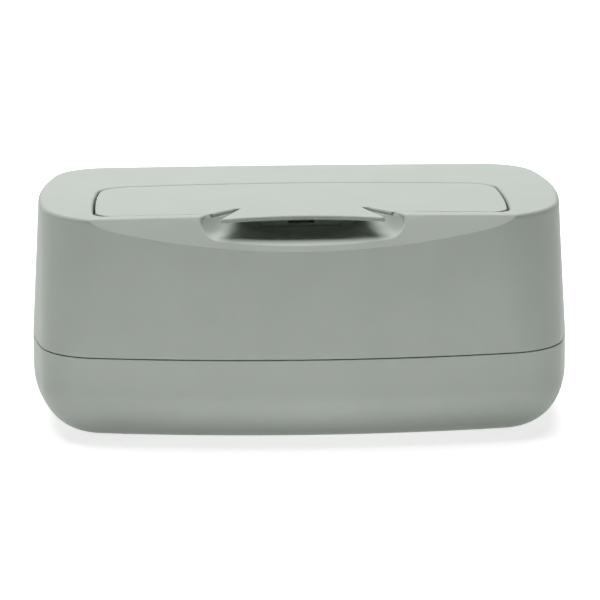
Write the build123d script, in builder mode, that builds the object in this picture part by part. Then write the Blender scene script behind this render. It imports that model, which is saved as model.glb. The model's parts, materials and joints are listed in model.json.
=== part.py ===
"""Countertop wipes dispenser: a tub, a lift-off housing with a flush hinged lid, and a weighted plate.

Millimetres, +Z up, +Y towards the back, origin on the table under the middle of the dispenser.
"""

import os
from math import hypot

from build123d import *

os.makedirs("parts", exist_ok=True)

# ---------------------------------------------------------------- driving dimensions
# Shell, at the seam between the tub and the housing
HALF_WIDTH = 120.0
HALF_DEPTH = 70.0
FRONT_BOW = 14.4  # how far the long arc of each wall bows out, seen from above
REAR_BOW = 3.0
SIDE_BOW = 13.7
FRONT_CORNER = 29.0
REAR_CORNER = 25.0
SHELL_WALL = 2.6

# Tub
FOOT_PROUD = 0.8
TUB_HEIGHT = 38.8
TUB_ROUND = 23.0
TUB_FLOOR = 2.4

# Housing
SEAM_GAP = 0.4
HOUSING_HEIGHT = 60.4
SIDE_LEAN = 3.3  # how far each side leans in over the housing's height
FRONT_LEAN = 3.9
REAR_LEAN = 3.0
TOP_FRONT_CORNER = 42.0
TOP_ROUND = 2.2
DECK = 2.2

# Bevel across the top of the front, part of a cone that stands in front of the dispenser
BEVEL_INSET = 19.8  # from the front of the shell back to the bevel's top edge
BEVEL_BOW = 6.6  # how far the bevel's top edge falls back at the dispenser's sides
BEVEL_SLOPE = 1.2975  # horizontal run for each unit of fall
BEVEL_DROP = 18.0

# Lap joint between tub and housing
LAP_SKIN = 1.1
LAP_HEIGHT = 4.0
RIM_SEAL_HEIGHT = 1.0

# Finger scoop
SCOOP_LENGTH = 36.0  # from the front of the shell back to the scoop's back wall
SCOOP_REAR_HALF = 29.4
SCOOP_MOUTH_INSET = 19.5
SCOOP_HALF = 44.7
SCOOP_DEPTH = 10.6
SCOOP_CORNER = 9.0
SCOOP_ROUND = 8.0
SCOOP_SWEEP = 350.0  # radius in which the floor sweeps up from its middle to each side
SCOOP_WALL = 2.0
LIP_ROUND = 1.2

# Lid
LID_MARGIN = 29.0  # from the shell's side to the lid
LID_WAIST = 26.0  # from the middle of the dispenser forward to the lid's widest place
LID_SIDE_RADIUS = 300.0
LID_REAR = 22.2
LID_REAR_BOW = 6.8
LID_REAR_CORNER = 14.0
LID_STRIP = 6.0  # from the bevel's top edge back to the lid
LID_FRONT_CORNER = 8.0
LID_PANEL = 1.8
LID_SKIRT = 4.0
LID_SKIRT_WALL = 1.4
LID_EDGE_ROUND = 0.4
LID_GAP = 1.1
LID_FRONT_GAP = 0.4
RIM_ROUND = 1.4  # where the housing's top rolls into the gap

# Fishtail tongue of the lid, over the scoop
TONGUE_NECK = 27.2
TONGUE_TIP_HALF = 37.0
TONGUE_TIP_INSET = 11.8
TONGUE_MIDDLE_INSET = 18.8
TONGUE_CORNER = 1.4
TONGUE_EDGE_ROUND = 1.2

# Hinge
HINGE_Y = 6.0
PIN_RADIUS = 1.0
PIN_LENGTH = 13.0
PIN_IN_LID = 7.0
LID_BOSS_HALF = 2.7
SOCKET_HALF = 3.2
SOCKET_LENGTH = 5.4

# Inner frame
FRAME_WALL = 1.8
SEAT_DEPTH = 7.5
APERTURE_MARGIN = 16.7  # from the lid's side to the aperture
APERTURE_REAR = 1.4
APERTURE_SET_BACK = 8.6  # from the scoop's back wall to the aperture
APERTURE_CORNER = 8.0
TROUGH_FRONT = 3.0  # from the hinge axis forward to the front of the trough

# Lid liner and its seal
LINER = 1.6
LINER_MARGIN = 11.1
LINER_REAR = 4.0
LINER_SET_BACK = 3.2
SEAL_WIDTH = 2.4
SEAL_LAND = 1.6  # from the aperture's edge to the seal
SEAL_GROOVE = 0.6
STAKE_RADIUS = 1.3
STAKE_HEAD = 2.3
STAKE_HEAD_HEIGHT = 0.8
STAKE_INSET = 14.0  # from the aperture's side to the outer stakes
STAKE_SPREAD = (-1, -1 / 3, 1 / 3, 1)
CATCH_TAB_HALF = 5.0
CATCH_TAB_WALL = 1.2
CATCH_TAB_DROP = 3.4

# Catch clip in the back wall of the scoop
CLIP_HALF = 18.0
CLIP_TOP = 2.6  # below the top of the housing
CLIP_HEIGHT = 5.4
CLIP_THICKNESS = 1.4
CLIP_REBATE = 1.0
CLIP_WINDOW_HALF = 5.7
CLIP_WINDOW_HEIGHT = 3.2

# Self-tapping screws that hold the frame and the pressing plate
SCREW_RADIUS = 1.2
SCREW_HEAD = 2.4
SCREW_HEAD_HEIGHT = 1.2
SCREW_BITE = 4.2
BOSS_RADIUS = 3.0
EAR_RADIUS = 5.0
SIDE_SCREW_FRONT = 28.0
SIDE_SCREW_REAR = 15.0

# Feet
FOOT_RADIUS = 7.0
FOOT_THICKNESS = 1.6
FOOT_INSET_X = 42.0
FOOT_INSET_Y = 36.0
FOOT_EDGE = 0.3

# Weighted pressing plate
PLATE_MARGIN_X = 28.0
PLATE_MARGIN_Y = 25.0
PLATE_CORNER = 18.0
PLATE_HEIGHT = 9.0
PLATE_TOP = 2.0
PLATE_WALL = 1.8
PLATE_COVER = 2.0
PLATE_EDGE_ROUND = 1.2
SLOT_INSET = 44.0
SLOT_RADIUS = 7.0
WEIGHT_GAP = 12.0  # from each end of a weight to the line of the plate's screws
WEIGHT_WIDTH = 20.0
WEIGHT_HEIGHT = 3.6
PLATE_SCREW_INSET = 20.0
REST_RIB_HEIGHT = 2.0
REST_RIB_WIDTH = 2.4
REST_RIB_INSET = 22.0

# Clearances
FIT = 0.3  # between pieces that move apart
SNUG = 0.1  # round pieces that stay put
RUNNING = 0.05  # radial, round the hinge pins


def arc_radius(half_chord, bow):
    """Radius of the arc that bows out by this much over its chord."""
    return (half_chord**2 + bow**2) / (2 * bow)


# ---------------------------------------------------------------- levels and derived places
BEVEL_EDGE = HALF_DEPTH - BEVEL_INSET
SCOOP_REAR = HALF_DEPTH - SCOOP_LENGTH
SCOOP_MOUTH = HALF_DEPTH - SCOOP_MOUTH_INSET
TONGUE_TIP = HALF_DEPTH - TONGUE_TIP_INSET
TONGUE_MIDDLE = HALF_DEPTH - TONGUE_MIDDLE_INSET
APERTURE_FRONT = SCOOP_REAR - APERTURE_SET_BACK
LINER_FRONT = SCOOP_REAR - LINER_SET_BACK
FRONT_RADIUS = arc_radius(HALF_WIDTH, FRONT_BOW)
REAR_RADIUS = arc_radius(HALF_WIDTH, REAR_BOW)
SIDE_RADIUS = arc_radius(HALF_DEPTH, SIDE_BOW)
BEVEL_RADIUS = arc_radius(HALF_WIDTH, BEVEL_BOW)
LID_HALF = HALF_WIDTH - LID_MARGIN
LID_REAR_RADIUS = arc_radius(LID_HALF, LID_REAR_BOW)
APERTURE_HALF = LID_HALF - APERTURE_MARGIN
LINER_HALF = LID_HALF - LINER_MARGIN
TUB_BOTTOM = FOOT_PROUD
SEAM = TUB_BOTTOM + TUB_HEIGHT
TOP = SEAM + SEAM_GAP + HOUSING_HEIGHT
DECK_UNDER = TOP - DECK
SEAT = TOP - SEAT_DEPTH
FRAME_BOTTOM = SEAT - FRAME_WALL
LID_UNDER = TOP - LID_PANEL
LINER_UNDER = LID_UNDER - LINER
HINGE_Z = DECK_UNDER - PIN_RADIUS - RUNNING
LID_RADIUS = hypot(LID_REAR - HINGE_Y, TOP - HINGE_Z)
TROUGH_RADIUS = LID_RADIUS + LID_GAP - FIT
TROUGH_HALF = LID_HALF + LID_GAP
TROUGH_FACE = HINGE_Y - TROUGH_FRONT
FRAME_HALF = TROUGH_HALF + FRAME_WALL
SCOOP_FLOOR = TOP - SCOOP_DEPTH
RIM_TOP = SEAM + LAP_HEIGHT
FLOOR_TOP = TUB_BOTTOM + TUB_FLOOR
PLATE_BOTTOM = FLOOR_TOP + REST_RIB_HEIGHT + FIT
PLATE_TOP_Z = PLATE_BOTTOM + PLATE_HEIGHT
SIDE_SCREW_X = FRAME_HALF + FIT + BOSS_RADIUS
REAR_SCREW_X = LID_HALF / 2
REAR_SCREW_Y = HINGE_Y + TROUGH_RADIUS + FRAME_WALL + FIT + BOSS_RADIUS
FRAME_SCREWS = [
    (side * x, y)
    for side in (-1, 1)
    for x, y in (
        (SIDE_SCREW_X, -SIDE_SCREW_FRONT),
        (SIDE_SCREW_X, SIDE_SCREW_REAR),
        (REAR_SCREW_X, REAR_SCREW_Y),
    )
]
STAKE_X = APERTURE_HALF - STAKE_INSET
STAKE_Y = -(APERTURE_FRONT + APERTURE_REAR) / 2
STAKES = [(STAKE_X * share, STAKE_Y) for share in STAKE_SPREAD]
FOOT_X = HALF_WIDTH - FOOT_INSET_X
FOOT_Y = HALF_DEPTH - FOOT_INSET_Y
PLATE_HALF_X = HALF_WIDTH - PLATE_MARGIN_X
PLATE_HALF_Y = HALF_DEPTH - PLATE_MARGIN_Y
PLATE_MIDDLE_Y = (PLATE_HALF_Y + SLOT_RADIUS) / 2  # line of the weights, the screws and the rest ribs
PLATE_SCREW_X = PLATE_HALF_X - PLATE_SCREW_INSET
PLATE_SCREWS = [(x, y) for x in (-PLATE_SCREW_X, PLATE_SCREW_X) for y in (-PLATE_MIDDLE_Y, PLATE_MIDDLE_Y)]
WEIGHT_LENGTH = 2 * (PLATE_SCREW_X - WEIGHT_GAP)
SLOT_HALF = PLATE_HALF_X - SLOT_INSET
REST_RIB_LENGTH = 2 * (PLATE_HALF_X - REST_RIB_INSET)


def save(builder, name):
    """Name a finished piece and write it out."""
    builder.part.label = name
    export_step(builder.part, f"parts/{name}.step")


# ---------------------------------------------------------------- outlines
def side_centres(x, y):
    """Centres of the arcs of the right and left walls, turned so that each circle starts on its far side."""
    return [Location((x, y, 0), (0, 0, 180)), Location((-x, y, 0))]


def shell_plan(level, inset=0.0):
    """The shell's outline at a level: four long arcs joined by round corners, leaning in above the seam."""
    rise = max(0.0, (level - SEAM) / (TOP - SEAM))
    half = HALF_WIDTH - SIDE_LEAN * rise
    front = HALF_DEPTH - FRONT_LEAN * rise
    rear = HALF_DEPTH - REAR_LEAN * rise
    front_corner = FRONT_CORNER + (TOP_FRONT_CORNER - FRONT_CORNER) * rise
    with BuildSketch(Plane.XY.offset(level)) as sketch:
        with Locations((0, FRONT_RADIUS - front)):
            Circle(FRONT_RADIUS - inset)
        with Locations((0, rear - REAR_RADIUS)):
            Circle(REAR_RADIUS - inset, mode=Mode.INTERSECT)
        for centre in side_centres(half - SIDE_RADIUS, 0):
            with Locations(centre):
                Circle(SIDE_RADIUS - inset, mode=Mode.INTERSECT)
        fillet(sketch.vertices().group_by(Axis.Y)[0], front_corner - inset)
        fillet(sketch.vertices().group_by(Axis.Y)[-1], REAR_CORNER - inset)
    return sketch.sketch


def lid_plan(level, grow=0.0):
    """The lid's outline without its tongue: bowed back, tapering sides and a hollow front."""
    with BuildSketch(Plane.XY.offset(level)) as sketch:
        with Locations((0, LID_REAR - LID_REAR_RADIUS)):
            Circle(LID_REAR_RADIUS + grow)
        for centre in side_centres(LID_HALF - LID_SIDE_RADIUS, -LID_WAIST):
            with Locations(centre):
                Circle(LID_SIDE_RADIUS + grow, mode=Mode.INTERSECT)
        with Locations((0, -BEVEL_EDGE - BEVEL_RADIUS)):
            Circle(BEVEL_RADIUS + LID_STRIP - grow, mode=Mode.SUBTRACT)
        fillet(sketch.vertices().group_by(Axis.Y)[0], LID_FRONT_CORNER + grow)
        fillet(sketch.vertices().group_by(Axis.Y)[-1], LID_REAR_CORNER + grow)
    return sketch.sketch


def opening_plan(level):
    """The opening that the lid fills: an even gap at its sides and back, and a close one along its front."""
    with BuildSketch(Plane.XY.offset(level)) as sketch:
        add(lid_plan(level, LID_GAP))
        with Locations((0, -BEVEL_EDGE - BEVEL_RADIUS)):
            Circle(BEVEL_RADIUS + LID_STRIP - LID_FRONT_GAP, mode=Mode.SUBTRACT)
    return sketch.sketch


def scoop_plan(level, grow=0.0):
    """The finger scoop seen from above: a straight mouth that narrows to the back wall."""
    corners = [
        (SCOOP_REAR_HALF, -SCOOP_REAR),
        (SCOOP_HALF, -SCOOP_MOUTH),
        (SCOOP_HALF, -HALF_DEPTH),
    ]
    with BuildSketch(Plane.XY.offset(level)) as sketch:
        with BuildLine():
            Polyline(*corners, *[(-x, y) for x, y in reversed(corners)], close=True)
        make_face()
        if grow:
            offset(amount=grow, kind=Kind.INTERSECTION)
        back = sketch.vertices().group_by(Axis.Y)
        fillet(back[-1] + back[-2], SCOOP_CORNER + grow)
    return sketch.sketch


def rounded_plan(level, half_x, low_y, high_y, corner):
    """A rounded rectangle, symmetrical left and right."""
    with BuildSketch(Plane.XY.offset(level)) as sketch:
        with Locations((0, (low_y + high_y) / 2)):
            RectangleRounded(2 * half_x, high_y - low_y, corner)
    return sketch.sketch


def tongue_plan(level):
    """The fishtail tongue: it widens towards its tips and its front edge is hollow."""
    neck, tip = (TONGUE_NECK, -SCOOP_REAR + LID_GAP), (TONGUE_TIP_HALF, -TONGUE_TIP)
    with BuildSketch(Plane.XY.offset(level)) as sketch:
        with BuildLine():
            Polyline((-tip[0], tip[1]), (-neck[0], neck[1]), neck, tip)
            ThreePointArc(tip, (0, -TONGUE_MIDDLE), (-tip[0], tip[1]))
        make_face()
        fillet(sketch.vertices().group_by(Axis.Y)[0], TONGUE_CORNER)
    return sketch.sketch


# ---------------------------------------------------------------- solids shared by several pieces
def tub_block(floor, inset, roll):
    """Upright block of the tub's outline whose lower edge rolls under."""
    with BuildPart() as block:
        extrude(shell_plan(floor, inset), amount=SEAM - floor)
        fillet(block.faces().sort_by(Axis.Z)[0].edges(), roll)
    return block.part


def housing_block(low, high, inset=0.0):
    """Leaning block between two levels of the housing."""
    with BuildPart() as block:
        loft([shell_plan(low, inset), shell_plan(high, inset)], ruled=True)
    return block.part


def bevel_cone(inset=0.0):
    """The cone that cuts the bevel, or the bevel's inner face when inset by a wall."""
    radius = BEVEL_RADIUS + inset * hypot(1, BEVEL_SLOPE)
    with BuildPart() as cone:
        with Locations((0, -BEVEL_EDGE - BEVEL_RADIUS, TOP - BEVEL_DROP)):
            Cone(
                radius - BEVEL_SLOPE * BEVEL_DROP,
                radius + BEVEL_SLOPE * DECK,
                BEVEL_DROP + DECK,
                align=(Align.CENTER, Align.CENTER, Align.MIN),
            )
    return cone.part


def scoop_block(grow=0.0):
    """The hollow of the scoop, or its outside when grown by a wall: a floor that sweeps up at its sides."""
    with BuildPart() as block:
        extrude(scoop_plan(SCOOP_FLOOR - grow, grow), amount=SCOOP_DEPTH + grow + DECK)
        with BuildSketch(Plane.XZ):
            with Locations((0, SCOOP_FLOOR + SCOOP_SWEEP)):
                Circle(SCOOP_SWEEP + grow)
        extrude(amount=2 * HALF_DEPTH, mode=Mode.INTERSECT)
        floor = block.faces().filter_by(lambda face: face.normal_at().Z < -0.5)
        walls = block.faces().filter_by(lambda face: abs(face.normal_at().Z) < 0.1)
        foot = [edge for edge in floor.edges() if edge in walls.edges() and edge.center().Y > -HALF_DEPTH]
        fillet(foot, SCOOP_ROUND + grow)
    return block.part


def scoop_outside(wall):
    """The outside of the scoop's shell, with a square heel that carries the catch clip."""
    with BuildPart() as block:
        add(scoop_block(wall))
        with Locations((0, wall - SCOOP_REAR, SCOOP_FLOOR - wall)):
            Box(
                2 * (CLIP_HALF + wall),
                SCOOP_ROUND + wall,
                SCOOP_DEPTH,
                align=(Align.CENTER, Align.MAX, Align.MIN),
            )
    return block.part


def trough_block(grow=0.0):
    """Space behind the hinge that the back of the lid swings down into, or its outside."""
    with BuildPart() as block:
        with BuildSketch(Plane.YZ.offset(-TROUGH_HALF - grow)):
            with Locations((HINGE_Y, HINGE_Z)):
                Circle(TROUGH_RADIUS + grow)
            with Locations((TROUGH_FACE - grow, DECK_UNDER)):
                Rectangle(
                    2 * TROUGH_RADIUS + grow,
                    2 * TROUGH_RADIUS + grow,
                    align=(Align.MIN, Align.MAX),
                    mode=Mode.INTERSECT,
                )
        extrude(amount=2 * (TROUGH_HALF + grow))
    return block.part


# ---------------------------------------------------------------- tub
with BuildPart() as base_tub:
    add(tub_block(TUB_BOTTOM, 0, TUB_ROUND))
    add(tub_block(FLOOR_TOP, SHELL_WALL, TUB_ROUND - SHELL_WALL), mode=Mode.SUBTRACT)
    add(housing_block(SEAM, RIM_TOP, LAP_SKIN + FIT))
    add(housing_block(SEAM, RIM_TOP, SHELL_WALL), mode=Mode.SUBTRACT)
    with Locations((0, -PLATE_MIDDLE_Y, FLOOR_TOP), (0, PLATE_MIDDLE_Y, FLOOR_TOP)):
        Box(REST_RIB_LENGTH, REST_RIB_WIDTH, REST_RIB_HEIGHT, align=(Align.CENTER, Align.CENTER, Align.MIN))
    with Locations([(x, y, TUB_BOTTOM) for x in (-FOOT_X, FOOT_X) for y in (-FOOT_Y, FOOT_Y)]):
        Cylinder(
            FOOT_RADIUS + SNUG,
            FOOT_THICKNESS - FOOT_PROUD,
            align=(Align.CENTER, Align.CENTER, Align.MIN),
            mode=Mode.SUBTRACT,
        )
save(base_tub, "base_tub")

with BuildPart() as rim_seal:
    add(housing_block(RIM_TOP, RIM_TOP + RIM_SEAL_HEIGHT, LAP_SKIN + FIT))
    add(housing_block(RIM_TOP, RIM_TOP + RIM_SEAL_HEIGHT, SHELL_WALL), mode=Mode.SUBTRACT)
save(rim_seal, "rim_seal")

for side, x in (("left", -FOOT_X), ("right", FOOT_X)):
    for end, y in (("front", -FOOT_Y), ("rear", FOOT_Y)):
        with BuildPart() as foot:
            with Locations((x, y, 0)):
                Cylinder(FOOT_RADIUS, FOOT_THICKNESS, align=(Align.CENTER, Align.CENTER, Align.MIN))
            fillet(foot.faces().sort_by(Axis.Z)[0].edges(), FOOT_EDGE)
        save(foot, f"foot_{end}_{side}")

# ---------------------------------------------------------------- housing
with BuildPart() as housing_outside:
    add(housing_block(SEAM + SEAM_GAP, TOP))
    add(bevel_cone(), mode=Mode.SUBTRACT)
    fillet(housing_outside.faces().sort_by(Axis.Z)[-1].edges(), TOP_ROUND)

with BuildPart() as housing_inside:
    add(housing_block(SEAM, DECK_UNDER, SHELL_WALL))
    add(bevel_cone(SHELL_WALL), mode=Mode.SUBTRACT)
    add(housing_block(SEAM, RIM_TOP + RIM_SEAL_HEIGHT + FIT, LAP_SKIN))

with BuildPart() as scoop_shell:
    add(scoop_outside(SCOOP_WALL))
    add(housing_outside.part, mode=Mode.INTERSECT)

with BuildPart() as upper_housing:
    add(housing_outside.part)
    add(housing_inside.part, mode=Mode.SUBTRACT)
    add(scoop_shell.part)
    extrude(opening_plan(DECK_UNDER), amount=2 * DECK, mode=Mode.SUBTRACT)
    rim = upper_housing.edges(Select.LAST).filter_by_position(Axis.Z, TOP - FIT, TOP + FIT)
    fillet(rim.sort_by(SortBy.RADIUS)[:-1], RIM_ROUND)  # all but the long front edge
    add(scoop_block(), mode=Mode.SUBTRACT)
    skin = housing_outside.faces()
    lip = upper_housing.edges(Select.LAST).filter_by(
        lambda edge: edge.center().Z < TOP - TOP_ROUND / 2
        and min(face.distance_to(edge @ 0.5) for face in skin) < RUNNING
    )
    fillet(lip, LIP_ROUND)
    with Locations((0, CLIP_REBATE - SCOOP_REAR, TOP)):
        Box(
            2 * (CLIP_HALF + SNUG),
            CLIP_REBATE + SCOOP_ROUND,
            CLIP_TOP + CLIP_HEIGHT + SNUG,
            align=(Align.CENTER, Align.MAX, Align.MAX),
            mode=Mode.SUBTRACT,
        )
    with Locations((0, -SCOOP_REAR, TOP - CLIP_TOP - (CLIP_HEIGHT - CLIP_WINDOW_HEIGHT) / 2)):
        Box(
            2 * CLIP_WINDOW_HALF,
            SCOOP_WALL,
            CLIP_WINDOW_HEIGHT,
            align=(Align.CENTER, Align.MIN, Align.MAX),
            mode=Mode.SUBTRACT,
        )
    with Locations([(x, y, DECK_UNDER) for x, y in FRAME_SCREWS]):
        Cylinder(BOSS_RADIUS, DECK_UNDER - SEAT, align=(Align.CENTER, Align.CENTER, Align.MAX))
        with Locations((0, 0, SEAT - DECK_UNDER)):
            Cylinder(
                SCREW_RADIUS + RUNNING,
                SCREW_BITE + FIT,
                align=(Align.CENTER, Align.CENTER, Align.MIN),
                mode=Mode.SUBTRACT,
            )
save(upper_housing, "upper_housing")

with BuildPart() as catch_clip:
    with Locations((0, -SCOOP_REAR + CLIP_REBATE, TOP - CLIP_TOP)):
        Box(2 * CLIP_HALF, CLIP_THICKNESS, CLIP_HEIGHT, align=(Align.CENTER, Align.MAX, Align.MAX))
    with Locations((0, -SCOOP_REAR + CLIP_REBATE, TOP - CLIP_TOP - CLIP_HEIGHT / 2)):
        Box(
            2 * CLIP_WINDOW_HALF,
            2 * CLIP_THICKNESS,
            CLIP_WINDOW_HEIGHT,
            mode=Mode.SUBTRACT,
        )
save(catch_clip, "catch_clip")

# ---------------------------------------------------------------- inner frame under the lid
with BuildPart() as inner_frame:
    extrude(lid_plan(FRAME_BOTTOM, LID_GAP + FRAME_WALL), amount=DECK_UNDER - FRAME_BOTTOM)
    add(trough_block(FRAME_WALL))
    with Locations([(x, y, FRAME_BOTTOM) for x, y in FRAME_SCREWS]):
        Cylinder(EAR_RADIUS, FRAME_WALL, align=(Align.CENTER, Align.CENTER, Align.MIN))
    with Locations([(side * TROUGH_HALF, HINGE_Y, DECK_UNDER) for side in (-1, 1)]):
        Box(
            2 * SOCKET_LENGTH,
            2 * SOCKET_HALF,
            DECK_UNDER - FRAME_BOTTOM,
            align=(Align.CENTER, Align.CENTER, Align.MAX),
        )
    extrude(lid_plan(SEAT, LID_GAP), amount=SEAT_DEPTH, mode=Mode.SUBTRACT)
    add(trough_block(), mode=Mode.SUBTRACT)
    extrude(
        rounded_plan(FRAME_BOTTOM, APERTURE_HALF, -APERTURE_FRONT, -APERTURE_REAR, APERTURE_CORNER),
        amount=FRAME_WALL,
        mode=Mode.SUBTRACT,
    )
    add(scoop_outside(SCOOP_WALL + SNUG), mode=Mode.SUBTRACT)
    with Locations([(x, y, FRAME_BOTTOM) for x, y in FRAME_SCREWS]):
        Cylinder(
            SCREW_RADIUS + FIT,
            FRAME_WALL,
            align=(Align.CENTER, Align.CENTER, Align.MIN),
            mode=Mode.SUBTRACT,
        )
    with Locations((0, HINGE_Y, HINGE_Z)):
        Cylinder(
            PIN_RADIUS + RUNNING,
            2 * (TROUGH_HALF + PIN_LENGTH - PIN_IN_LID),
            rotation=(0, 90, 0),
            mode=Mode.SUBTRACT,
        )
        Box(
            2 * (TROUGH_HALF + PIN_LENGTH - PIN_IN_LID),
            2 * (PIN_RADIUS + RUNNING),
            DECK_UNDER - HINGE_Z,
            align=(Align.CENTER, Align.CENTER, Align.MIN),
            mode=Mode.SUBTRACT,
        )
save(inner_frame, "inner_frame")

with BuildPart() as frame_screws:
    with Locations([(x, y, FRAME_BOTTOM) for x, y in FRAME_SCREWS]):
        Cylinder(SCREW_HEAD, SCREW_HEAD_HEIGHT, align=(Align.CENTER, Align.CENTER, Align.MAX))
        Cylinder(SCREW_RADIUS, FRAME_WALL + SCREW_BITE, align=(Align.CENTER, Align.CENTER, Align.MIN))
save(frame_screws, "frame_screws")

# ---------------------------------------------------------------- lid
BORE_END = LID_HALF - LID_SKIRT_WALL - PIN_IN_LID

with BuildPart() as hinge_bosses:
    with Locations([(side * BORE_END, HINGE_Y, LID_UNDER) for side in (-1, 1)]):
        Box(
            2 * PIN_IN_LID,
            2 * LID_BOSS_HALF,
            LID_UNDER - HINGE_Z + LID_BOSS_HALF,
            align=(Align.CENTER, Align.CENTER, Align.MAX),
        )
    extrude(lid_plan(HINGE_Z - LID_BOSS_HALF), amount=LID_SKIRT, mode=Mode.INTERSECT)

with BuildPart() as skirt:
    extrude(lid_plan(TOP - LID_SKIRT), amount=LID_SKIRT - LID_PANEL)
    extrude(lid_plan(TOP - LID_SKIRT, -LID_SKIRT_WALL), amount=LID_SKIRT - LID_PANEL, mode=Mode.SUBTRACT)
    add(hinge_bosses.part)
    extrude(scoop_plan(TOP - LID_SKIRT, SCOOP_WALL + LID_GAP), amount=LID_SKIRT, mode=Mode.SUBTRACT)

with BuildPart() as tongue:
    extrude(tongue_plan(LID_UNDER), amount=LID_PANEL)
    fillet(tongue.faces().sort_by(Axis.Y)[0].edges().sort_by(Axis.Z)[-1], TONGUE_EDGE_ROUND)

with BuildPart() as lid_shell:
    extrude(lid_plan(LID_UNDER), amount=LID_PANEL)
    fillet(lid_shell.faces().sort_by(Axis.Z)[-1].edges(), LID_EDGE_ROUND)
    extrude(scoop_plan(LID_UNDER), amount=LID_PANEL, mode=Mode.SUBTRACT)
    add(tongue.part)
    add(skirt.part)
    with Locations((0, HINGE_Y, HINGE_Z)):
        Cylinder(PIN_RADIUS + RUNNING, 2 * LID_HALF, rotation=(0, 90, 0), mode=Mode.SUBTRACT)
    with Locations([(x, y, LID_UNDER) for x, y in STAKES]):
        Cylinder(STAKE_RADIUS, LINER, align=(Align.CENTER, Align.CENTER, Align.MAX))
    with Locations([(x, y, LINER_UNDER) for x, y in STAKES]):
        Cylinder(STAKE_HEAD, STAKE_HEAD_HEIGHT, align=(Align.CENTER, Align.CENTER, Align.MAX))
save(lid_shell, "lid_shell")

SEAL_PLAN = (
    APERTURE_HALF + SEAL_LAND,
    -APERTURE_FRONT - SEAL_LAND,
    -APERTURE_REAR + SEAL_LAND,
    APERTURE_CORNER + SEAL_LAND,
)


def seal_ring(level, height):
    """Ring round the aperture, standing off its edge by the seal's land."""
    half_x, low_y, high_y, corner = SEAL_PLAN
    with BuildPart() as ring:
        extrude(
            rounded_plan(
                level,
                half_x + SEAL_WIDTH,
                low_y - SEAL_WIDTH,
                high_y + SEAL_WIDTH,
                corner + SEAL_WIDTH,
            ),
            amount=height,
        )
        extrude(rounded_plan(level, half_x, low_y, high_y, corner), amount=height, mode=Mode.SUBTRACT)
    return ring.part


with BuildPart() as lid_liner:
    extrude(rounded_plan(LINER_UNDER, LINER_HALF, -LINER_FRONT, LINER_REAR, APERTURE_CORNER), amount=LINER)
    add(seal_ring(LINER_UNDER, SEAL_GROOVE), mode=Mode.SUBTRACT)
    with Locations([(x, y, LINER_UNDER) for x, y in STAKES]):
        Cylinder(
            STAKE_RADIUS + RUNNING,
            LINER,
            align=(Align.CENTER, Align.CENTER, Align.MIN),
            mode=Mode.SUBTRACT,
        )
    with Locations((0, -LINER_FRONT, LINER_UNDER)):
        Box(
            2 * CATCH_TAB_HALF,
            CATCH_TAB_WALL,
            CATCH_TAB_DROP,
            align=(Align.CENTER, Align.MIN, Align.MAX),
        )
save(lid_liner, "lid_liner")

with BuildPart() as lid_seal:
    add(seal_ring(SEAT + FIT, LINER_UNDER + SEAL_GROOVE - SEAT - FIT))
save(lid_seal, "lid_seal")

for name, side in (("hinge_pin_left", -1), ("hinge_pin_right", 1)):
    with BuildPart() as hinge_pin:
        with Locations((side * (BORE_END + PIN_LENGTH / 2), HINGE_Y, HINGE_Z)):
            Cylinder(PIN_RADIUS, PIN_LENGTH, rotation=(0, 90, 0))
    save(hinge_pin, name)

# ---------------------------------------------------------------- weighted pressing plate
COVER_TOP = PLATE_BOTTOM + PLATE_COVER
SLOT_WALL = SLOT_RADIUS + PLATE_WALL


def plate_block(low, high, inset=0.0):
    """Block of the plate's outline between two levels."""
    with BuildPart() as block:
        extrude(
            rounded_plan(
                low,
                PLATE_HALF_X - inset,
                inset - PLATE_HALF_Y,
                PLATE_HALF_Y - inset,
                PLATE_CORNER - inset,
            ),
            amount=high - low,
        )
    return block.part


def slot_block(low, high, radius):
    """Long round-ended block along the plate's middle."""
    with BuildPart() as block:
        with BuildSketch(Plane.XY.offset(low)):
            SlotCenterToCenter(2 * (SLOT_HALF - SLOT_RADIUS), 2 * radius)
        extrude(amount=high - low)
    return block.part


with BuildPart() as plate_shell:
    add(plate_block(PLATE_BOTTOM, PLATE_TOP_Z))
    fillet(plate_shell.faces().sort_by(Axis.Z)[-1].edges(), PLATE_EDGE_ROUND)
    add(plate_block(PLATE_BOTTOM, PLATE_TOP_Z - PLATE_TOP, PLATE_WALL), mode=Mode.SUBTRACT)
    add(slot_block(PLATE_BOTTOM, PLATE_TOP_Z - PLATE_TOP, SLOT_WALL))
    with Locations([(x, y, COVER_TOP) for x, y in PLATE_SCREWS]):
        Cylinder(
            BOSS_RADIUS,
            PLATE_TOP_Z - PLATE_TOP - COVER_TOP,
            align=(Align.CENTER, Align.CENTER, Align.MIN),
        )
    with Locations([(x, y, COVER_TOP) for x, y in PLATE_SCREWS]):
        Cylinder(
            SCREW_RADIUS + RUNNING,
            SCREW_BITE + FIT,
            align=(Align.CENTER, Align.CENTER, Align.MIN),
            mode=Mode.SUBTRACT,
        )
    add(slot_block(PLATE_BOTTOM, PLATE_TOP_Z, SLOT_RADIUS), mode=Mode.SUBTRACT)
save(plate_shell, "plate_shell")

with BuildPart() as plate_cover:
    add(plate_block(PLATE_BOTTOM, COVER_TOP, PLATE_WALL + SNUG))
    add(slot_block(PLATE_BOTTOM, COVER_TOP, SLOT_WALL + SNUG), mode=Mode.SUBTRACT)
    with Locations([(x, y, PLATE_BOTTOM) for x, y in PLATE_SCREWS]):
        Cylinder(
            SCREW_RADIUS + FIT,
            PLATE_COVER,
            align=(Align.CENTER, Align.CENTER, Align.MIN),
            mode=Mode.SUBTRACT,
        )
        Cylinder(
            SCREW_HEAD + FIT,
            SCREW_HEAD_HEIGHT,
            align=(Align.CENTER, Align.CENTER, Align.MIN),
            mode=Mode.SUBTRACT,
        )
save(plate_cover, "plate_cover")

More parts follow.
